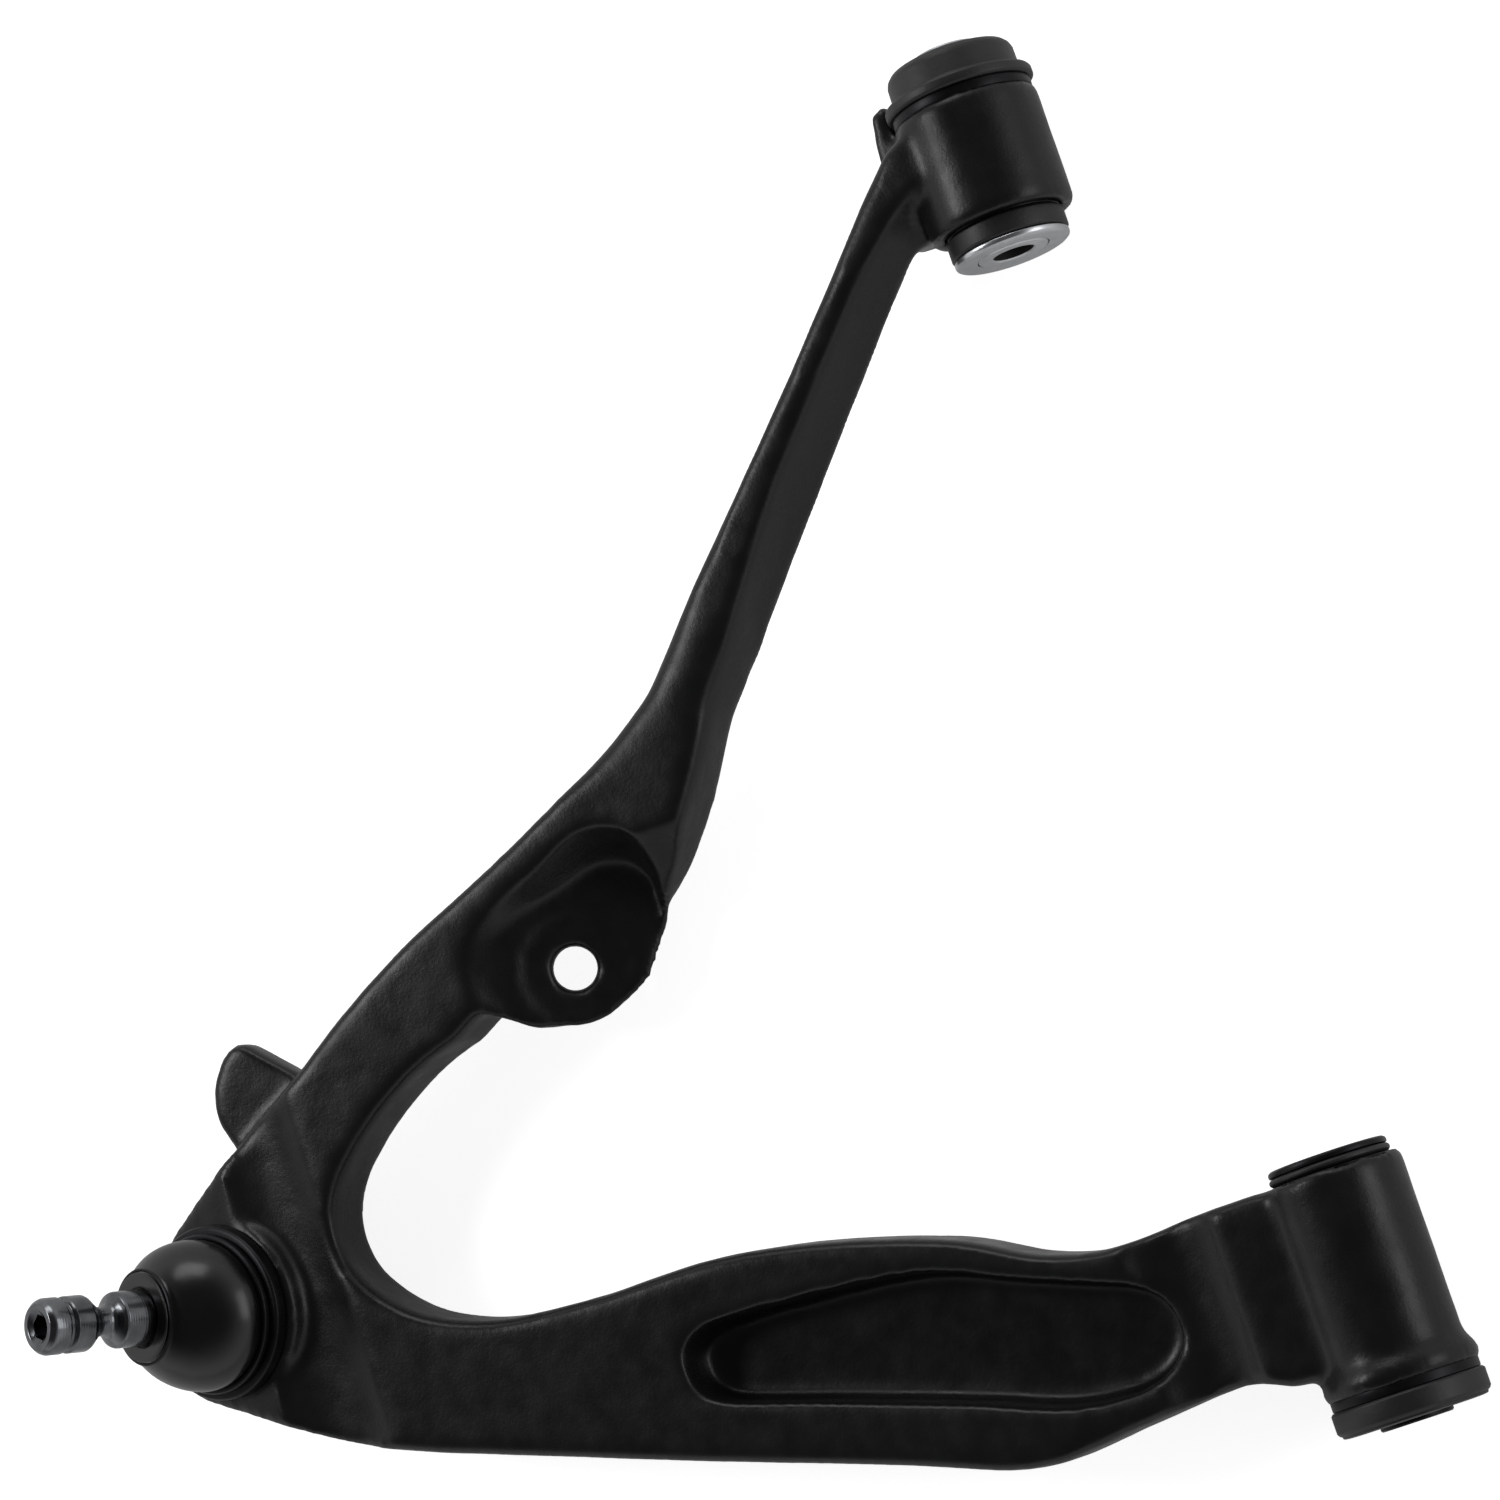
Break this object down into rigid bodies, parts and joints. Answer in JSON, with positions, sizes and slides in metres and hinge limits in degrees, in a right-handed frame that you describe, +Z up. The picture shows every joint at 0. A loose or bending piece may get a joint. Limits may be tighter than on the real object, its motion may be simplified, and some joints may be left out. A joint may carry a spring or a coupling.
{
  "type": "suspension control arm",
  "caption": "Black cast lower control arm with a rubber pivot bush in the eye at each inboard end, a tilted link seat, and a booted ball joint with a pinch-bolt stud.",
  "frame": {"origin": "on the common axis of the two pivot bushes, at the point both bushes are laid out from", "axes": "+X forward along the pivot axis from the rear bush to the front bush, +Y outboard to the ball joint, +Z up, the way the ball stud points"},
  "size_m": [0.4865, 0.4694, 0.1116],
  "materials": {
    "black_casting": "sand cast, black dip-painted, semi-gloss",
    "black_steel": "black oiled, turned",
    "bright_steel": "bright zinc plated",
    "stud_steel": "fine turned, bare",
    "rubber": "moulded, smooth",
    "polymer": "moulded acetal, natural"
  },
  "bodies": {
    "arm": {"control_arm": "black_casting", "front_bush_sleeve": "black_steel", "front_bush_rubber": "rubber", "rear_bush_sleeve": "black_steel", "rear_bush_rubber": "rubber", "ball_joint_housing": "black_steel", "upper_bearing_liner": "polymer", "lower_bearing_liner": "polymer", "preload_disc_spring": "bright_steel", "housing_cover": "black_steel", "housing_circlip": "bright_steel", "boot_base_ring": "black_steel"},
    "front_bush_core": {"front_bush_inner_sleeve": "bright_steel", "front_bush_washer": "bright_steel"},
    "rear_bush_core": {"rear_bush_inner_sleeve": "black_steel", "rear_bush_washer": "black_steel"},
    "boot_body": {"dust_boot": "rubber"},
    "boot_neck": {"boot_lip_bush": "polymer", "boot_neck_ring": "black_steel"},
    "stud": {"ball_stud": "stud_steel"}
  },
  "joints": [
    {"name": "front_bush_twist", "type": "hinge", "parent": "arm", "child": "front_bush_core", "pos_m": [0.205, 0, 0], "axis": [1, 0, 0], "range_deg": [-20, 20], "stiffness_Nm_per_rad": 60},
    {"name": "rear_bush_twist", "type": "hinge", "parent": "arm", "child": "rear_bush_core", "pos_m": [-0.1985, 0, 0], "axis": [1, 0, 0], "range_deg": [-20, 20], "stiffness_Nm_per_rad": 60},
    {"name": "ball_swivel", "type": "hinge", "parent": "arm", "child": "boot_body", "pos_m": [-0.077, 0.396, -0.003], "axis": [0.0335, 0.2755, 0.9607], "continuous": true},
    {"name": "ball_tilt", "type": "hinge", "parent": "boot_body", "child": "boot_neck", "pos_m": [-0.077, 0.396, -0.003], "axis": [-0.8806, 0.4628, -0.1019], "range_deg": [-36, 13.5], "deforming": ["dust_boot"]},
    {"name": "stud_spin", "type": "hinge", "parent": "boot_neck", "child": "stud", "pos_m": [-0.077, 0.396, -0.003], "axis": [0.1253, 0.4349, 0.8917], "continuous": true}
  ]
}
